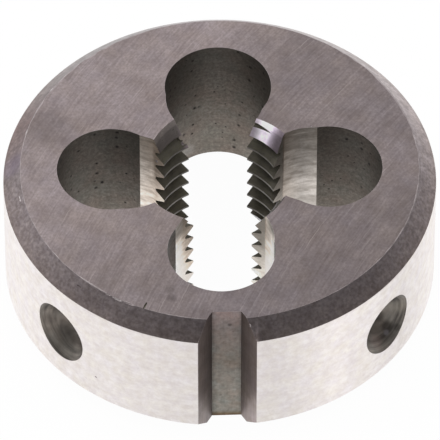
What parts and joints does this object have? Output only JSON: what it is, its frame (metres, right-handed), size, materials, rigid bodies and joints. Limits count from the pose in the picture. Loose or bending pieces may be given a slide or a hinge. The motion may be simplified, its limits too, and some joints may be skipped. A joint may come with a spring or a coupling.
{
  "type": "round threading die",
  "caption": "Round split-type threading die with open chip holes round an internal thread, an adjusting slot and conical set-screw dimples in its rim.",
  "frame": {"origin": "centre of the die on its lower, seat face", "axes": "+Z along the thread axis towards the upper face, -Y towards the adjusting slot, +X to the slot's right when seen from the front"},
  "size_m": [0.03, 0.0299, 0.011],
  "materials": {
    "tool_steel": "ground and hardened, bright on the rim and dull in the holes"
  },
  "bodies": {
    "root": {"threading_die": "tool_steel"}
  },
  "joints": []
}
